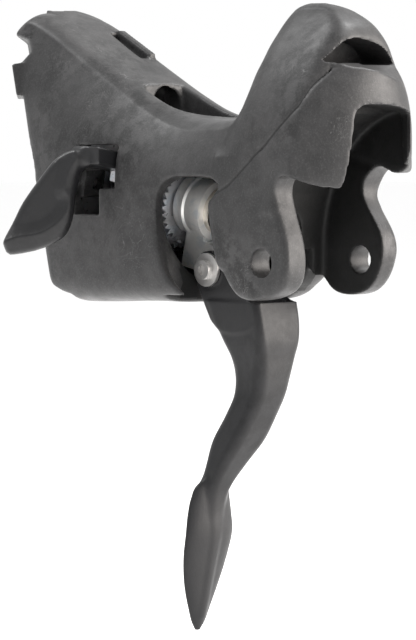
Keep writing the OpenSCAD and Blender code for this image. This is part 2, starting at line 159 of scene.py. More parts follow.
def net(grid, d):
    """Surface nets: one vertex in each cell that the surface crosses."""
    s = d < 0
    n = d.shape
    corner = [(i, j, k) for i in (0, 1) for j in (0, 1) for k in (0, 1)]
    cnt = np.zeros([m - 1 for m in n], np.int8)
    for i, j, k in corner:
        cnt += s[i : n[0] - 1 + i, j : n[1] - 1 + j, k : n[2] - 1 + k]
    mixed = (cnt > 0) & (cnt < 8)
    cell = np.argwhere(mixed)
    ids = np.full(mixed.shape, -1, np.int64)
    ids[mixed] = np.arange(len(cell))
    acc = np.zeros((len(cell), 3))
    num = np.zeros(len(cell))
    edges = [(a, b) for a in corner for b in corner if sum(b) - sum(a) == 1 and all(q >= p for p, q in zip(a, b))]
    for a, b in edges:
        fa = d[cell[:, 0] + a[0], cell[:, 1] + a[1], cell[:, 2] + a[2]]
        fb = d[cell[:, 0] + b[0], cell[:, 1] + b[1], cell[:, 2] + b[2]]
        m = (fa < 0) != (fb < 0)
        t = np.where(m, fa / np.where(m, fa - fb, 1.0), 0.0)[:, None]
        p = np.array(a) + (np.array(b) - np.array(a)) * t
        acc += p * m[:, None]
        num += m
    v = (cell + acc / num[:, None]) * grid.h + grid.lo
    quads = []
    for axis in range(3):
        o = [1 if i == axis else 0 for i in range(3)]
        a = s[tuple(slice(0, n[i] - o[i]) for i in range(3))]
        b = s[tuple(slice(o[i], n[i]) for i in range(3))]
        e = np.argwhere(a != b)
        flip = a[e[:, 0], e[:, 1], e[:, 2]]
        u, w = [(1, 2), (2, 0), (0, 1)][axis]
        ok = (e[:, u] > 0) & (e[:, w] > 0) & (e[:, u] < n[u] - 1) & (e[:, w] < n[w] - 1)
        e, flip = e[ok], flip[ok]
        q = []
        for du, dw in ((1, 1), (0, 1), (0, 0), (1, 0)):
            c = e.copy()
            c[:, u] -= du
            c[:, w] -= dw
            q.append(ids[c[:, 0], c[:, 1], c[:, 2]])
        q = np.stack(q, 1)
        q[~flip] = q[~flip][:, ::-1]
        quads.append(q)
    return v, np.concatenate(quads)


def relax(v, q, times=1, f=0.5):
    for _ in range(times):
        s = np.zeros_like(v)
        c = np.zeros(len(v))
        for i in range(4):
            a, b = q[:, i], q[:, (i + 1) % 4]
            for j in range(3):
                s[:, j] += np.bincount(a, v[b, j], len(v)) + np.bincount(b, v[a, j], len(v))
            c += np.bincount(a, minlength=len(v)) + np.bincount(b, minlength=len(v))
        v = v + (s / np.maximum(c, 1)[:, None] - v) * f
    return v


def snap(grid, d, v, times=2):
    """Pull vertices back onto the surface of the field."""
    g = np.gradient(d, grid.h)
    for _ in range(times):
        p = (v - grid.lo) / grid.h
        i = np.clip(p.astype(int), 0, np.array(d.shape) - 2)
        t = p - i
        val = np.zeros(len(v))
        gr = np.zeros((len(v), 3))
        for a in (0, 1):
            for b in (0, 1):
                for c in (0, 1):
                    w = np.where(a, t[:, 0], 1 - t[:, 0]) * np.where(b, t[:, 1], 1 - t[:, 1]) * np.where(c, t[:, 2], 1 - t[:, 2])
                    ix = (i[:, 0] + a, i[:, 1] + b, i[:, 2] + c)
                    val += w * d[ix]
                    for j in range(3):
                        gr[:, j] += w * g[j][ix]
        v = v - gr * (val / np.maximum((gr**2).sum(1), 0.25))[:, None] * 0.8
    return v


def keep_biggest(v, q):
    """Drop loose crumbs: keep only the largest connected piece."""
    lab = np.arange(len(v))
    for _ in range(400):
        m = lab[q].min(1)
        new = lab.copy()
        for i in range(4):
            np.minimum.at(new, q[:, i], m)
        new = new[new]
        if (new == lab).all():
            break
        lab = new
    u, c = np.unique(lab[q[:, 0]], return_counts=True)
    good = lab[q[:, 0]] == u[c.argmax()]
    q = q[good]
    used = np.unique(q)
    remap = np.full(len(v), -1)
    remap[used] = np.arange(len(used))
    return v[used], remap[q]


def to_object(name, v, faces, smooth=40.0):
    me = bpy.data.meshes.new(name)
    me.from_pydata([tuple(p) for p in (np.asarray(v) * MM)], [], [tuple(int(i) for i in f) for f in faces])
    me.validate()
    me.update()
    ob = bpy.data.objects.new(name, me)
    bpy.context.scene.collection.objects.link(ob)
    me.polygons.foreach_set("use_smooth", [True] * len(me.polygons))
    me.set_sharp_from_angle(angle=math.radians(smooth))
    return ob


def solid(name, grid, d, smooth=40.0, relaxing=2, biggest=True):
    v, q = net(grid, d)
    if biggest:
        v, q = keep_biggest(v, q)
    v = relax(v, q, relaxing, 0.5)
    v = snap(grid, d, v, 1)
    return to_object(name, v, q, smooth)


def thin_out(ob, tris):
    n = len(ob.data.polygons) * 2
    if n > tris:
        m = ob.modifiers.new("thin", "DECIMATE")
        m.ratio = tris / n
        m.use_collapse_triangulate = True
        apply_all(ob)
        ob.data.polygons.foreach_set("use_smooth", [True] * len(ob.data.polygons))
    return ob


def apply_all(ob):
    bpy.context.view_layer.update()
    dg = bpy.context.evaluated_depsgraph_get()
    me = bpy.data.meshes.new_from_object(ob.evaluated_get(dg))
    ob.modifiers.clear()
    old = ob.data
    ob.data = me
    bpy.data.meshes.remove(old)
    return ob


# ------------------------------------------------------------------ shared design numbers
HW, GI = 17.5, 11.5
TILT = math.radians(12.0)
CT, ST = math.cos(TILT), math.sin(TILT)
AY, AZ0 = 32.0, 10.4
HY, HZ = 24.0, -2.2
LEAN = math.radians(12.5)


def stack(x, y, z):
    """Coordinates in the shift stack's frame: x, up, w along the axis."""
    dy, dz = y - AY, z - AZ0
    return x, -dy * ST + dz * CT, dy * CT + dz * ST


def M(x, up, w):
    """A point of the stack's frame, in the row frame."""
    return (x, AY + w * CT - up * ST, AZ0 + w * ST + up * CT)


def box(x, y, z, lo, hi):
    c = [(a + b) / 2 for a, b in zip(lo, hi)]
    e = [(b - a) / 2 for a, b in zip(lo, hi)]
    q = [np.abs(p - c[i]) - e[i] for i, p in enumerate((x, y, z))]
    out = np.sqrt(np.maximum(q[0], 0) ** 2 + np.maximum(q[1], 0) ** 2 + np.maximum(q[2], 0) ** 2)
    return out + np.minimum(np.maximum(np.maximum(q[0], q[1]), q[2]), 0)


def side_cut(g, pts, x0, x1, times=2):
    p = poly(g.ys[:, None], g.zs[None, :], chaikin(pts, times) if times else pts)[None]
    sx = np.maximum(x0 - g.x, g.x - x1)
    return np.maximum(p, sx)


# ------------------------------------------------------------------ body moulding
barrel = [
    [2, 17.5, -4, 14, 29.6, 13.6], [9, 17.5, -5.5, 14, 28.8, 13], [18, 17.5, -8.6, 14, 28.2, 12.2],
    [26, 17.5, -9, 14.5, 28.2, 11.2], [34, 17.5, -9, 15.5, 30.2, 10.4], [42, 17.5, -9.2, 17, 33.8, 10],
    [50, 17.3, -9.6, 19, 38, 9.8], [58, 16.6, -9.8, 22, 42.3, 9.8], [66, 15.4, -9.6, 26, 46.8, 9.8],
    [74, 14.2, -9.2, 30, 50, 9.8], [82, 13.8, -9, 33, 51.5, 9.6], [92, 13.6, -9, 34, 52, 9.4]]
visor = [
    [10, 17.5, -15.4, 14], [14, 17.5, -16.8, 14], [18, 17.45, -17.8, 14], [23, 17.3, -18.2, 14], [28, 17.0, -18.2, 13.4],
    [31, 16.45, -18.0, 12.4], [34.5, 15.1, -17.6, 11], [36, 14.2, -17.3, 10.4], [37.4, 13.1, -16.9, 9.8], [39.4, 11.6, -16.3, 9]]
hump = [
    [14, 17.4, -13.4, 13.8], [20, 17.3, -13.4, 13], [24, 17.1, -13.3, 12.2], [28, 16.6, -13.2, 11.2], [31, 15.7, -13, 10.3],
    [34, 14.5, -12.8, 9.5], [37.2, 13.0, -12.6, 8.9], [40, 11.4, -12.5, 8.2], [43, 9.5, -12.4, 7.6], [45, 7.9, -11.9, 7.1],
    [47.6, 5.9, -10, 6.1], [49, 4.6, -8, 5.4], [50.2, 3.2, -5.6, 4.6], [50.9, 1.9, -3.2, 3.6], [51.3, 0.8, -1.4, 2.6]]
crease = [[-60, 80], [-16, 41], [-11.6, 38.2], [-11.2, 37.2], [-9.8, 34.5], [-8.4, 30.8], [-5.9, 28], [-1, 23.3], [3.5, 19.4], [8.9, 15.1], [14, 12.8], [17.5, 12.6], [17.5, -60], [-60, -60]]
ear_low = [[-3.6, 14], [-4.2, 11.6], [-5.3, 8.2], [-6.6, 5], [-7.4, 2.5], [-7.6, -0.5], [-7, -3],
           [-5.4, -5.2], [-3, -6.4], [0, -7.3], [3, -7.8], [5.6, -7.5], [7.8, -6.4], [9.8, -4.2], [11.4, -1.4], [13, -4.6], [15.6, -7.4], [15.8, -40]]
near_cut = [[-40, -40], [-40, 22.5], [-19.6, 22], [-18.3, 19.6], [-17.2, 17], [-16, 15.4], [-14.4, 14.8], [-12.8, 15.0], [-11.2, 15.5], [-9.6, 16.2], [-8, 16.9], [-5.8, 17.3], [-4.1, 16.2]] + ear_low
far_low = [[-1.4, 16.4], [-0.7, 14.6], [-0.9, 12.6], [-1.9, 10.8], [-3.4, 8.8], [-5, 6.6], [-6, 4.7], [-6.5, 2.6], [-6.4, 0.8], [-5.5, -2], [-4.2, -4.2], [-2.4, -6], [0.4, -7.3], [3, -7.8], [5.6, -7.5], [7.8, -6.4], [9.8, -4.2], [11.4, -1.4], [13, -4.6], [15.6, -7.4], [15.8, -40]]
far_cut = [[-40, -40], [-40, 26], [-16.4, 25], [-15, 21.6], [-13.2, 19], [-11, 17.6], [-8.8, 17.4], [-7, 18.2], [-5.2, 18.9], [-3.2, 18.2]] + far_low
gap_cut = [[-13.5, -40], [-13.5, 30.4], [-8, 29.6], [-2, 26.6], [3.5, 21.5], [7.5, 15], [9.5, 8], [10, 1], [10, -40]]
window = [[30, 12.6], [28.6, 15], [26.4, 16.3], [24, 16.7], [15.5, 16.7], [12.6, 15.8], [11.6, 14.8], [14, 13.4],
          [15.2, 11.4], [14.6, 8], [13.8, 4], [12.6, 0], [11.2, -3.2], [9, -6], [8, -7.6], [20, -7.6], [23.4, -6.6],
          [26.4, -4], [28.4, -0.6], [29.6, 4.6]]
rear_cut = [[56, -40], [56, -8.6], [61, -7.2], [65, -4.4], [67.4, -0.6], [68.4, 4], [69.4, 11], [81, 13], [90, 53], [87, 60], [140, 60], [140, -40]]


def barrel_field(g):
    d = np.empty(g.n, f4)
    at = np.clip(g.ys.astype(float), 2, 92)
    rows = lerp_rows(barrel, 0, at)
    for j, s in enumerate(rows):
        _, w, b, h, t, r = s
        half = [[0, b], [w * 0.55, b + 0.1], [w * 0.78, b + 0.7], [w * 0.91, b + 2.1], [w * 0.98, b + 4.6],
                [w, b + 9], [w, (b + 9 + h) / 2], [w, h], [w - (w - r) * 0.2, h + (t - h) * 0.34], [w - (w - r) * 0.5, h + (t - h) * 0.63],
                [w - (w - r) * 0.8, h + (t - h) * 0.85], [r + 0.9, t - 1.9], [r - 0.9, t - 0.7], [r - 3.4, t - 0.1], [0, t + 0.1]]
        ring = half + [[-p[0], p[1]] for p in half[-2:0:-1]]
        d[:, j, :] = poly(g.xs[:, None], g.zs[None, :], chaikin(ring, 2))
    return np.maximum(d, 2 - g.y)


def nose_field(g, rows, n, c=None, far=1.0):
    zc = np.clip(g.zs.astype(float), rows[0][0], rows[-1][0])
    r = lerp_rows(rows, 0, zc).astype(f4)
    a, f, q = [r[:, i][None, None, :] for i in (1, 2, 3)]
    if c is None:
        c = (f + q) / 2
    dy = g.y - c
    b = np.where(dy < 0, c - f, q - c)
    a = a * (1.0 - (1.0 - far) * np.clip(g.x / 10.0, 0, 1))
    F = ((np.abs(g.x) / a) ** n + (np.abs(dy) / b) ** n) ** (1.0 / n)
    R = np.sqrt(g.x**2 + dy**2) + 0.01
    d = R * (1 - 1 / np.maximum(F, 0.05))
    d = np.maximum(d, g.z - rows[-1][0])
    d = np.maximum(d, rows[0][0] - g.z)
    return normalise(d, g.h)


def body_field(g):
    x, y, z = g.x, g.y, g.z
    vis = nose_field(g, visor, 2.1, -2.0, 0.97)
    hum = nose_field(g, hump, 4.0)
    # the visor's crowned upper ledge, falling away towards the far side of the nose
    crest = 39.35 - 0.03 * x
    zr = np.interp(g.xs, [-14, -10.8, -8, -4.5, -1, 2, 5.6, 8, 10, 12], [36.6, 37.3, 37.9, 38.5, 38.2, 37.5, 36.4, 35.4, 34.4, 33.2])[:, None, None].astype(f4)
    t = np.clip((-12.3 - y) / 3.3, -1, 1.6)
    ledge = crest - t * (crest - zr)
    vis = np.maximum(vis, (z - ledge) * 0.9)
    vis = np.maximum(vis, poly(g.ys[:, None], g.zs[None, :], np.array(crease, float))[None, :, :] * np.where(y < -11.8, 0, 1) - np.where(y < -11.8, 9, 0))
    hum = np.where((y < -12.2) & (z < crest), np.maximum(hum, (z - ledge) * 0.9), hum)
    hum = smin(hum, vis, 0.12)
    d = smin(hum, barrel_field(g), 3.6)
    g.outer = d.copy()
    ears = box(x, y, z, (-17.4, -8.0, -8.3), (17.4, 13, 21))
    d = smin(d, ears, 2.0)
    # flat flanks
    d = smax(d, np.abs(x) - HW, 1.5)
    # half-moon recess in the front of the hump, sunk behind the ledge's rear edge
    moon = chaikin([[-10.2, 39.7], [-9.2, 40.6], [-7.4, 42.4], [-5.6, 43.7], [-3.4, 44.3], [-0.6, 44.2], [2.8, 43.4], [5.4, 42.4], [7.6, 40.9], [9.6, 39.05], [8.8, 36.9], [-8.8, 36.9]], 1)
    mp = poly(g.xs[:, None], g.zs[None, :], moon)[:, None, :]
    mp = np.maximum(mp, y + 4.6 - (44.8 - z) * 0.3)
    mp = np.where(z < crest, np.maximum(np.maximum(mp, -12.0 - y), np.abs(x) - 7.6), mp)
    d = cut(d, mp, 0.12)
    # front outline of the ears and of the visor's cheeks
    kn = np.clip(0.7 + (14 - z) * 0.5, 0.7, 1.8)
    kf = np.clip(1.0 + (16 - z) * 0.6, 1.0, 3.0)
    nc = side_cut(g, near_cut, -40, 40, 2)
    fc = side_cut(g, far_cut, -40, 40, 2)
    w = np.clip((x + 4) / 8, 0, 1)
    fc = nc * (1 - w) + fc * w
    d = smax(d, -fc, kn * (1 - w) + kf * w)
    # hollow between the ears, up into the visor
    gp = poly(g.ys[:, None], g.zs[None, :], chaikin(gap_cut, 1))[None]
    gx = smax(np.abs(x + 0 * z) - GI, gp, 1.2)
    d = cut(d, gx, 0.5)
    # mouth of the visor
    roof = 31.3 - 0.0105 * (x + 3) ** 2
    near = -7.3 - (30.6 - z) * 0.13
    m = smax(smax(near - x, z - roof, 3.0), np.maximum(x - 10.2, y + 8), 0.6)
    d = cut(d, m, 0.25)
    # window beside the finger carrier
    wp = side_cut(g, window, -40, -8, 2)
    d = cut(d, wp, 0.9)
    # rear outline, saddle, short near arm, clamp band notch
    rc = side_cut(g, rear_cut, -40, 40, 1)
    d = cut(d, rc, 1.2)
    by, bz = y - 81.6, z - 17.5
    v = by * math.cos(LEAN) - bz * math.sin(LEAN)
    t = by * math.sin(LEAN) + bz * math.cos(LEAN)
    rr = np.sqrt(x**2 + v**2)
    d = cut(d, rr - 12.0, 0.5)
    # the near arm stops short round the bar, with a shallow scallop for the clamp band and a locating tab
    ang = np.degrees(np.arctan2(v, x)) % 360
    edge = 222.0 + 9.5 * np.clip(1.6 - np.abs(t - 23.1) / 2.2, 0, 1) + np.clip((t - 27.5) * 1.2, 0, 6)
    er = np.radians(edge)
    sec = np.where((ang > 90) & (ang < edge), -1.0, 1.0) * np.minimum(
        np.abs(x * np.sin(er) - v * np.cos(er)) + np.where(np.cos(np.radians(ang) - er) < 0, 99, 0),
        np.abs(x) + np.where(v < 0, 99, 0))
    sec = np.clip(sec, -6, 6)
    d = cut(d, sec.astype(f4), 0.8)
    tu2 = (x - v) * 0.7071
    tab = box((x + v) * 0.7071 + 15.6, tu2 - 0.2, t, (-2.6, -2.2, 13.4), (2.6, 2.2, 19.6))
    d = smin(d, tab - 0.3, 0.5)
    d = cut(d, rr - 12.0, 0.4)
    lobe = 50.3 - 0.04 * np.clip(y - x - 78.0, 0, 20) ** 2
    d = np.where(x < -3, smax(d, z - lobe, 1.2), d)
    band = box(x, v, t, (2, -17, 20.8), (30, 13, 27.4))
    d = cut(d, band, 0.6)
    # cavity for the shift stack
    sx, su, sw = stack(x, y, z)
    r = np.sqrt(sx**2 + su**2)
    d = cut(d, np.maximum(r - 14.6, -16 - sw), 0.5)
    d = cut(d, r - 2.55, 0.3)
    d = cut(d, np.maximum(np.maximum(r - 5.0, -18.2 - sw), sw + 12), 0.3)
    d = cut(d, np.maximum(r - 4.6, sw + 18.2), 0.4)
    # floor opening, thumb lever's opening
    d = cut(d, box(x, y, z, (-14.8, 8, -20), (8.2, 28.6, 2)), 0.8)
    d = cut(d, box(x, y, z, (-30, 41.6, 14), (-10, 52.8, 22.8)), 0.4)
    d = cut(d, box(x, y, z, (-30, 46.2, 8.6), (-10, 53.8, 15)), 0.4)
    # clamp bolt: pocket, key channel, seat, space for the band's ends
    plan = chaikin([[-6.2, 44.5], [-6.2, 38], [-5.6, 34], [-3.6, 31], [-0.6, 29.2], [3, 28.2], [6.2, 28.4], [6.2, 44.5], [3, 44.5], [-3, 44.5]], 1)
    pp = poly(g.xs[:, None], g.ys[None, :], plan)[:, :, None]
    pk = np.maximum(np.maximum(pp, y - 44.5), (26.6 + (y - 28.6) * 0.18) - z)
    d = cut(d, pk, 0.8)
    c16, s16 = math.cos(math.radians(16)), math.sin(math.radians(16))
    py, pz = y - 44.5, z - 31.2
    pu, pv = py * c16 + pz * s16, -py * s16 + pz * c16
    hole = np.maximum(np.sqrt((x - 0.6) ** 2 + pv**2) - 3.3, np.abs(pu - 5) - 11)
    d = cut(d, hole, 0.3)
    d = cut(d, np.maximum(np.sqrt((x - 1.3) ** 2 + (pv + 0.7) ** 2) - 3.75, np.abs(pu + 1) - 4.5), 0.3)
    d = cut(d, box(x, pu, pv, (-6, 9, -3.6), (5.4, 53, 3.8)), 0.4)
    # brake cable tunnel
    c13, s13 = math.cos(math.radians(13)), math.sin(math.radians(13))
    ty, tz = y + 6, z - 18.2
    tu, tv = ty * c13 + tz * s13, -ty * s13 + tz * c13
    d = cut(d, np.maximum(np.sqrt((x - 9.2) ** 2 + tv**2) - 2.6, np.abs(np.abs(tu - 48) - 39) - 22), 0.3)
    # deck: raised outer strip, hood slot with a rim
    dy, dz = y - 58.6, z - 43.7
    c25, s25 = math.cos(math.radians(28)), math.sin(math.radians(28))
    du, dv = dy * c25 + dz * s25, -dy * s25 + dz * c25
    rim = box(x, du, dv, (6.0, -4.2, -3), (7.6, 6.0, -0.5))
    d = smin(d, rim - 0.3, 1.2)
    d = cut(d, box(x, du, dv, (4.0, -4.2, -2.2), (5.8, 5.8, 4)) - 0.1, 0.7)
    # plate posts inside
    for s in (-1, 1):
        p = np.maximum(box(sx, su, sw, (s * 12.9 - 3.4, -2.9, 20.8), (s * 12.9 + 3.4, 2.9, 24.8)), r - 15.2)
        p = np.maximum(p, -(np.sqrt((sx - s * 11.2) ** 2 + su**2) - 1.2))
        d = smin(d, p, 0.2)
    # pivot holes, with a lead-in on the near ear
    pr = np.sqrt(y**2 + z**2)
    d = cut(d, pr - 2.8 + 0 * x, 0.15)
    d = cut(d, np.maximum(pr - 2.8 - np.clip(-(x + 16.9), 0, 1) * 0.9, x + 10) + 0 * x, 0.2)
    # moulding line across the near flank: a shallow groove sunk along it
    lp = poly(g.ys[:, None], g.zs[None, :], np.array(crease, float))[None]
    d = d + np.where((x < -8) & (y > -13), 0.26 * np.exp(-((lp / 0.5) ** 2)), 0).astype(f4)
    return d.astype(f4)


H_BODY = 0.4
g = Grid((-19.2, -21.5, -11), (19.2, 92, 53), H_BODY)
body = solid("body_moulding_skin", g, body_field(g), 38.0, 2)
thin_out(body, 190000)
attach(body, "body")
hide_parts("body_moulding")


def depth_under(ob, grid, field):
    """Depth below the uncut outer skin at every face centre, with the centres in millimetres."""
    n = len(ob.data.polygons)
    c = np.empty(n * 3)
    ob.data.polygons.foreach_get("center", c)
    c = c.reshape(n, 3) * 1000.0
    i = [np.clip(np.rint((c[:, k] - ax[0]) / grid.h).astype(int), 0, len(ax) - 1) for k, ax in enumerate((grid.xs, grid.ys, grid.zs))]
    return field[i[0], i[1], i[2]], c


# painted shade: faces sunk below the outer skin inside the fork gap, between the ears and in the cavity under the deck
# are picked out for a darker copy of the body material
deep, cen = depth_under(body, g, g.outer)
shade = (deep < -0.75) & (np.abs(cen[:, 0]) < 11.8) & ((cen[:, 1] < 25) | ((cen[:, 1] < 82) & (cen[:, 2] < 22) & (np.abs(cen[:, 0]) < 11)))
shade |= (np.abs(cen[:, 0]) < 11.75) & (cen[:, 1] < 9) & (cen[:, 1] > -8.2) & (cen[:, 2] < 22)
shade &= cen[:, 2] < 33

# ------------------------------------------------------------------ finger lever
blade = [
    [-8.6, -1.5, 17.4, 6.1, 7.2, 1.3], [-13, -1.5, 16.0, 6.1, 6.6, 1.4], [-16.4, -1.5, 15.0, 6.0, 5.8, 1.8], [-20, -1.6, 14.3, 5.5, 4.7, 2.2],
    [-23.6, -1.8, 14.2, 5.0, 4.2, 2.4], [-27.4, -2.2, 14.7, 4.7, 4.0, 2.4], [-31.6, -3.2, 16.2, 4.7, 4.0, 2.4], [-36.6, -4.7, 18.2, 4.7, 4.0, 2.3],
    [-41.4, -6.6, 19.8, 3.9, 3.0, 2.0], [-45.8, -8.0, 21.3, 2.9, 2.3, 1.5], [-50, -8.7, 21.9, 1.9, 1.9, 1.2], [-56, -9.0, 22.0, 1.2, 1.7, 0.9],
    [-64, -9.9, 22.7, 0.8, 1.5, 0.6], [-72, -10.7, 23.5, 0.5, 1.0, 0.4]]
paddle = [
    [-43, -7.4, 21.2, 1.2, 0.9], [-45.4, -8.6, 21.8, 4.2, 1.6], [-48, -9.0, 22.0, 5.3, 1.9], [-51, -9.1, 22.1, 6.0, 2.0], [-55, -9.2, 22.1, 6.5, 2.0],
    [-60, -9.8, 22.6, 6.1, 1.9], [-66, -10.4, 23.2, 4.6, 1.7], [-70.4, -10.7, 23.5, 2.9, 1.4], [-73.4, -10.8, 23.7, 1.6, 1.0], [-75, -10.9, 23.8, 0.5, 0.5]]
cheek = [[10.6, -9.6], [14, -7.2], [18.4, -3], [20.3, -0.2], [22.4, 1.6], [25.6, 1.6], [27.6, 0], [28.1, -2.8], [27.4, -5.4], [26, -8], [24.6, -10.6], [23, -13.4], [18, -15], [11, -14]]


def slices(g, rows, n=None):
    zc = np.clip(g.zs.astype(float), rows[-1][0], rows[0][0])
    r = lerp_rows(rows[::-1], 0, zc).astype(f4)
    col = [r[:, i][None, None, :] for i in range(r.shape[1])]
    dx, dy = g.x - col[1], g.y - col[2]
    if n is None:
        rad = np.maximum(col[5], 0.2)
        qx, qy = np.abs(dx) - np.maximum(col[3], 0.2) + rad, np.abs(dy) - np.maximum(col[4], 0.2) + rad
        d = np.sqrt(np.maximum(qx, 0) ** 2 + np.maximum(qy, 0) ** 2) + np.minimum(np.maximum(qx, qy), 0) - rad
    else:
        a, b = np.maximum(col[3], 0.2), np.maximum(col[4], 0.2)
        F = ((np.abs(dx) / a) ** n + (np.abs(dy) / b) ** n) ** (1.0 / n)
        d = (np.sqrt(dx**2 + dy**2) + 0.01) * (1 - 1 / np.maximum(F, 0.05))
    d = np.maximum(d, rows[-1][0] - g.z)
    d = np.maximum(d, g.z - rows[0][0])
    return normalise(d, g.h)


def lever_field(g):
    x, y, z = g.x, g.y, g.z
    d = slices(g, blade)
    d = smin(d, slices(g, paddle, 1.75), 1.2)
    cp = poly(g.ys[:, None], g.zs[None, :], chaikin(cheek, 2))[None]
    for x0, x1 in ((-7.6, -4.6), (3.4, 4.6)):
        c = smax(cp, np.maximum(x0 - x, x - x1), 0.5)
        d = smin(d, c, 0.8)
    ch = poly(g.ys[:, None], g.zs[None, :], chaikin([[13.0, -2], [12.4, -9], [12.4, -14], [12.8, -22], [16, -27], [34, -27], [34, -2]], 1))[None]
    ch = smax(ch, np.maximum(-4.6 - x, x - 3.4), 1.6)
    d = cut(d, ch, 0.5)
    d = cut(d, np.sqrt((y - HY) ** 2 + (z - HZ) ** 2) - 1.62 + 0 * x, 0.2)
    # shallow seat for the washer
    d = cut(d, np.maximum(np.sqrt((y - HY) ** 2 + (z - HZ) ** 2) - 4.0, x + 7.5) + 0 * x, 0.1)
    return d.astype(f4)


H_LEV = 0.27
g = Grid((-17.5, 6.5, -77), (6.5, 30, 3.5), H_LEV)
lever = solid("finger_lever_skin", g, lever_field(g), 38.0, 2)
thin_out(lever, 120000)
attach(lever, "finger_lever")
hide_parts("finger_lever")

# ------------------------------------------------------------------ thumb lever
# the paddle stands across the near rear corner: a runs along it, z up, and w is its thickness direction
thumb_edge = [[-42.5, 22.2], [-45.92, 22.2], [-47.62, 22.2], [-50.79, 21.85], [-53.53, 20.03], [-55.47, 17.59], [-57.1, 15.36], [-58.73, 13.12],
              [-60.36, 10.69], [-61.99, 7.23], [-63.21, 4.99], [-64.03, 3.37], [-64.09, 2.55], [-63.23, 0.42], [-60.99, 0.52],
              [-56.31, 1.54], [-52.24, 3.57], [-51.02, 4.79], [-50.1, 6.82], [-49.49, 9.67], [-49.38, 12.11], [-48.77, 14.14],
              [-48.36, 16.88], [-47.34, 18.2], [-45.92, 18.6], [-42.5, 18.6]]
thumb_face = [[-48.76, 20.84], [-50.59, 18.2], [-51.41, 15.15], [-51.62, 13.73], [-50.6, 12.31], [-50.81, 10.28], [-52.24, 7.84],
              [-54.88, 5.81], [-57.32, 4.79], [-60.98, 4.38], [-63.42, 3.57], [-70, 2], [-70, 26], [-52, 26]]


def thumb_field(g):
    x, y, z = g.x, g.y, g.z
    a = (x - y) * 0.70711
    w = -(x + y) * 0.70711
    w0 = np.interp(a, [-65, -63, -60, -57, -53, -49, -46, -43], [-19.7, -19.3, -18.6, -18.1, -17.9, -18.1, -18.6, -19.6]).astype(f4)
    edge = poly(a, z, chaikin(thumb_edge, 1))
    face = poly(a, z, chaikin(thumb_face, 1))
    front = w0 + 1.75 - 1.05 * np.clip(-face / 2.2, 0, 1) ** 0.7 - 1.9 * np.clip(face / 4.2, 0, 1) ** 1.4
    back = w0 - 2.1 + 0.9 * np.clip((-edge - 1.0) / 4.0, 0, 1)
    d = smax(edge, smax(w - front, back - w, 0.6), 1.5)
    zc = 20.2 - 0.186 * np.clip(x + 17.6, -4, 20)
    root = box(x, y - 45.7, z - zc, (-20.6, -3.1, -1.4), (-9.0, 3.1, 1.4)) - 0.4
    return smin(d, root, 1.4).astype(f4)


H_THUMB = 0.28
g = Grid((-36, 40, -2), (-8, 68, 24), H_THUMB)
thumb = solid("thumb_lever_skin", g, thumb_field(g), 45.0, 2)
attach(thumb, "thumb_lever")
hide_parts("thumb_lever")

# ------------------------------------------------------------------ materials
def nodes_of(name):
    m = bpy.data.materials.new(name)
    m.use_nodes = True
    nt = m.node_tree
    nt.nodes.clear()
    out = nt.nodes.new("ShaderNodeOutputMaterial")
    bs = nt.nodes.new("ShaderNodeBsdfPrincipled")
    nt.links.new(bs.outputs[0], out.inputs[0])
    co = nt.nodes.new("ShaderNodeTexCoord")
    return m, nt, bs, co.outputs["Object"]


def noise(nt, co, scale, detail=3.0, rough=0.5, dist=0.0, stretch=None):
    if stretch:
        mp = nt.nodes.new("ShaderNodeMapping")
        mp.inputs["Scale"].default_value = stretch
        nt.links.new(co, mp.inputs["Vector"])
        co = mp.outputs[0]
    n = nt.nodes.new("ShaderNodeTexNoise")
    n.inputs["Scale"].default_value = scale
    n.inputs["Detail"].default_value = detail
    n.inputs["Roughness"].default_value = rough
    n.inputs["Distortion"].default_value = dist
    nt.links.new(co, n.inputs["Vector"])
    return n.outputs["Fac"]


def remap(nt, val, a, b, c, d, clamp=True):
    n = nt.nodes.new("ShaderNodeMapRange")
    n.clamp = clamp
    for i, x in zip(("From Min", "From Max", "To Min", "To Max"), (a, b, c, d)):
        n.inputs[i].default_value = x
    nt.links.new(val, n.inputs["Value"])
    return n.outputs[0]


def mix(nt, fac, a, b):
    n = nt.nodes.new("ShaderNodeMix")
    n.data_type = "RGBA"
    for s, x in ((n.inputs[6], a), (n.inputs[7], b)):
        if isinstance(x, tuple):
            s.default_value = (*x, 1.0)
        else:
            nt.links.new(x, s)
    if isinstance(fac, float):
        n.inputs[0].default_value = fac
    else:
        nt.links.new(fac, n.inputs[0])
    return n.outputs[2]


def math_node(nt, op, a, b=None):
    n = nt.nodes.new("ShaderNodeMath")
    n.operation = op
    for i, x in enumerate((a, b)):
        if x is None:
            continue
        if isinstance(x, (int, float)):
            n.inputs[i].default_value = x
        else:
            nt.links.new(x, n.inputs[i])
    return n.outputs[0]


def bump(nt, bs, height, strength, dist, prev=None):
    n = nt.nodes.new("ShaderNodeBump")
    n.inputs["Strength"].default_value = strength
    n.inputs["Distance"].default_value = dist
    nt.links.new(height, n.inputs["Height"])
    if prev is not None:
        nt.links.new(prev, n.inputs["Normal"])
    nt.links.new(n.outputs[0], bs.inputs["Normal"])
    return n.outputs[0]


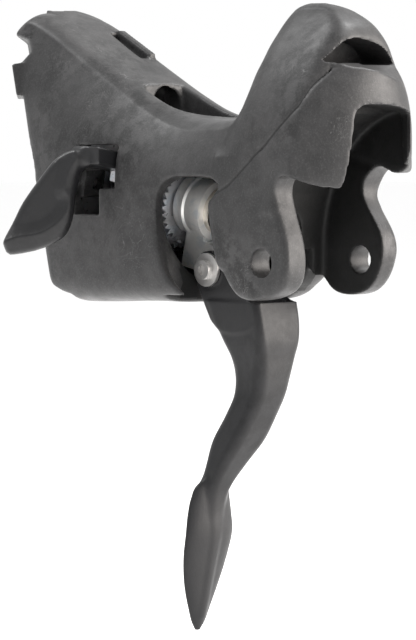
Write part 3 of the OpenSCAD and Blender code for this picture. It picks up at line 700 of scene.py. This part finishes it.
def composite(name, base, light, rough, grain=1.0, scratch=0.5, mottle=1.0, spec=0.36, split=None):
    """Fibre-filled nylon straight from the mould: faint flow mottling, fine grain, a few hairline scuffs."""
    m, nt, bs, co = nodes_of(name)
    big = noise(nt, co, 55, 4, 0.6, 0.2)
    mid = noise(nt, co, 300, 6, 0.7, 0.15)
    fine = noise(nt, co, 2600, 2, 0.6)
    c = mix(nt, remap(nt, big, 0.3, 0.72, 0.0, 1.0), base, light)
    c2 = mix(nt, remap(nt, mid, 0.42, 0.66, 0.0, 0.55 * mottle), c, tuple(x * 0.62 for x in base))
    patch = math_node(nt, "MULTIPLY", remap(nt, noise(nt, co, 42, 2, 0.5), 0.5, 0.6, 0.0, 1.0), remap(nt, mid, 0.44, 0.56, 0.0, 0.8 * mottle))
    c2 = mix(nt, patch, c2, tuple(x * 0.45 for x in base))
    c2 = mix(nt, remap(nt, fine, 0.5, 0.72, 0.0, 0.26 * mottle), c2, tuple(x * 1.9 for x in light))
    # hairline scuffs: thin bands of a strongly warped noise
    w = noise(nt, co, 150, 2, 0.5, 2.4)
    line = math_node(nt, "ABSOLUTE", math_node(nt, "SUBTRACT", w, 0.5))
    sc = remap(nt, line, 0.0, 0.006, 1.0, 0.0)
    gate = remap(nt, noise(nt, co, 70, 2, 0.5), 0.52, 0.64, 0.0, scratch)
    sc = math_node(nt, "MULTIPLY", sc, gate)
    c3 = mix(nt, sc, c2, tuple(min(1, x * 2.1) for x in light))
    groove = None
    if split:
        # hairline of the mould split, drawn at the height the list gives for each y
        sx = nt.nodes.new("ShaderNodeSeparateXYZ")
        nt.links.new(co, sx.inputs[0])
        ramp = nt.nodes.new("ShaderNodeValToRGB")
        el = ramp.color_ramp.elements
        while len(el) < len(split):
            el.new(0.5)
        for e, (ly, lz) in zip(el, split):
            e.position = (ly + 12.0) / 29.0
            e.color = (lz / 60.0, lz / 60.0, lz / 60.0, 1)
        nt.links.new(remap(nt, sx.outputs[1], -0.012, 0.017, 0.0, 1.0), ramp.inputs[0])
        zt = remap(nt, sx.outputs[2], 0.0, 0.06, 0.0, 1.0)
        off = math_node(nt, "ABSOLUTE", math_node(nt, "SUBTRACT", zt, ramp.outputs[0]))
        groove = remap(nt, off, 0.18 / 60, 0.5 / 60, 1.0, 0.0)
        for out, a0, a1, b0, b1 in ((0, -0.0086, -0.008, 1.0, 0.0), (1, -0.0118, -0.0115, 0.0, 1.0), (1, 0.0125, 0.0145, 1.0, 0.0)):
            groove = math_node(nt, "MULTIPLY", groove, remap(nt, sx.outputs[out], a0, a1, b0, b1))
        c3 = mix(nt, math_node(nt, "MULTIPLY", groove, 0.85), c3, tuple(x * 0.25 for x in base))
    nt.links.new(c3, bs.inputs["Base Color"])
    r = math_node(nt, "ADD", remap(nt, mid, 0.3, 0.7, rough - 0.06, rough + 0.08), math_node(nt, "MULTIPLY", sc, -0.08))
    nt.links.new(r, bs.inputs["Roughness"])
    h = math_node(nt, "ADD", math_node(nt, "MULTIPLY", fine, 0.6 * grain), math_node(nt, "MULTIPLY", mid, 0.8))
    h = math_node(nt, "ADD", h, math_node(nt, "MULTIPLY", sc, -0.5))
    if groove is not None:
        h = math_node(nt, "ADD", h, math_node(nt, "MULTIPLY", groove, -1.5))
    bump(nt, bs, h, 0.35, 0.00008)
    bs.inputs["Specular IOR Level"].default_value = spec
    bs.inputs["IOR"].default_value = 1.5
    return m


def metal(name, base, rough, lines=0.0, dirt=0.25, grease=0.0, axis=None):
    m, nt, bs, co = nodes_of(name)
    a = noise(nt, co, 900, 4, 0.6, 0.3, axis)
    b = noise(nt, co, 180, 4, 0.6, 0.8)
    c = mix(nt, remap(nt, b, 0.45, 0.75, 0.0, dirt), base, tuple(x * 0.5 for x in base))
    if grease:
        gmask = remap(nt, noise(nt, co, 160, 3, 0.55, 1.5), 0.5, 0.62, 0.0, grease)
        c = mix(nt, gmask, c, (0.42, 0.5, 0.56))
    nt.links.new(c, bs.inputs["Base Color"])
    nt.links.new(remap(nt, a, 0.3, 0.7, rough - 0.07, rough + 0.1), bs.inputs["Roughness"])
    bs.inputs["Metallic"].default_value = 1.0 if not grease else 0.62
    if lines > 0.15:
        bump(nt, bs, a, lines * 0.4, 0.00001)
    return m


MATS = {
    "body_composite": composite("body_composite", (0.012, 0.012, 0.0124), (0.041, 0.040, 0.0405), 0.45, 1.6, 0.9, split=crease[2:11]),
    "lever_composite": composite("lever_composite", (0.012, 0.012, 0.013), (0.015, 0.015, 0.016), 0.42, 0.7, 0.35, 0.5, 0.24),
    "thumb_nylon": composite("thumb_nylon", (0.010, 0.010, 0.011), (0.012, 0.012, 0.013), 0.36, 1.6, 0.3, 0.4, 0.34),
    "inner_nylon": composite("inner_nylon", (0.008, 0.008, 0.009), (0.012, 0.012, 0.013), 0.36, 0.5, 0.2, 0.5),
    "cast_alloy": metal("cast_alloy", (0.9, 0.89, 0.87), 0.42, 0.1, 0.3, 0.4),
    "stainless": metal("stainless", (0.56, 0.55, 0.54), 0.42, 0.1, 0.05),
    "hard_steel": metal("hard_steel", (0.5, 0.5, 0.52), 0.32, 0.3, 0.4, 0.4),
    "spring_wire": metal("spring_wire", (0.42, 0.42, 0.44), 0.3, 0.2, 0.3),
    "bronze": metal("bronze", (0.62, 0.58, 0.52), 0.36, 0.2, 0.3),
}
SLOT = {s["node"]: s["material_slot"] for s in frame["record"]["subparts"]}


def give(ob, mat):
    ob.data.materials.clear()
    ob.data.materials.append(mat)


give(body, MATS["body_composite"])
# second slot: a darker copy of the body material, painted shade on the faces inside the fork gap and cavity
body.data.materials.append(composite("body_painted_shade", (0.006, 0.006, 0.006), (0.011, 0.011, 0.011), 0.5, 1.0, 0.2, 1.0, 0.2))
body.data.polygons.foreach_set("material_index", shade.astype(np.int32))
body.data.update()
give(lever, MATS["lever_composite"])
give(thumb, MATS["thumb_nylon"])
for node, ob in frame["nodes"].items():
    mat = MATS[SLOT[node]]
    if len(ob.material_slots) == 0:
        ob.data.materials.append(mat)
    for s in ob.material_slots:
        s.material = mat

# ------------------------------------------------------------------ floor and light
lo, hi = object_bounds()
floor_z = min(lo[2], -0.0755) - 0.03


def plane(name, size, loc):
    me = bpy.data.meshes.new(name)
    s = size / 2
    me.from_pydata([(-s, -s, 0), (s, -s, 0), (s, s, 0), (-s, s, 0)], [], [(0, 1, 2, 3)])
    ob = bpy.data.objects.new(name, me)
    ob.location = loc
    bpy.context.scene.collection.objects.link(ob)
    return ob


floor = plane("floor", 8.0, (0, 0, floor_z))
m, nt, bs, co = nodes_of("floor_paint")
bs.inputs["Base Color"].default_value = (0.98, 0.98, 0.98, 1)
bs.inputs["Roughness"].default_value = 0.9
give(floor, m)

world = bpy.data.worlds.new("world")
bpy.context.scene.world = world
world.use_nodes = True
wn = world.node_tree.nodes
wn["Background"].inputs[0].default_value = (1.0, 1.0, 1.0, 1)
wn["Background"].inputs[1].default_value = 1.0


def area(name, loc, target, size, power, colour=(1, 1, 1)):
    l = bpy.data.lights.new(name, "AREA")
    l.shape = "RECTANGLE"
    l.size, l.size_y = size
    l.energy = power
    l.color = colour
    ob = bpy.data.objects.new(name, l)
    ob.location = loc
    d = Vector(target) - Vector(loc)
    ob.rotation_euler = d.to_track_quat("-Z", "Y").to_euler()
    bpy.context.scene.collection.objects.link(ob)
    return ob


c0 = (0, 0.03, 0.0)
area("key", (0.62, -0.82, 0.24), c0, (0.95, 0.8), 25.0, (1.0, 0.94, 0.89))
area("top", (0.48, -0.18, 0.86), c0, (0.45, 0.4), 9.0)
area("left", (-0.32, 0.52, 0.84), c0, (0.4, 0.4), 5.5)
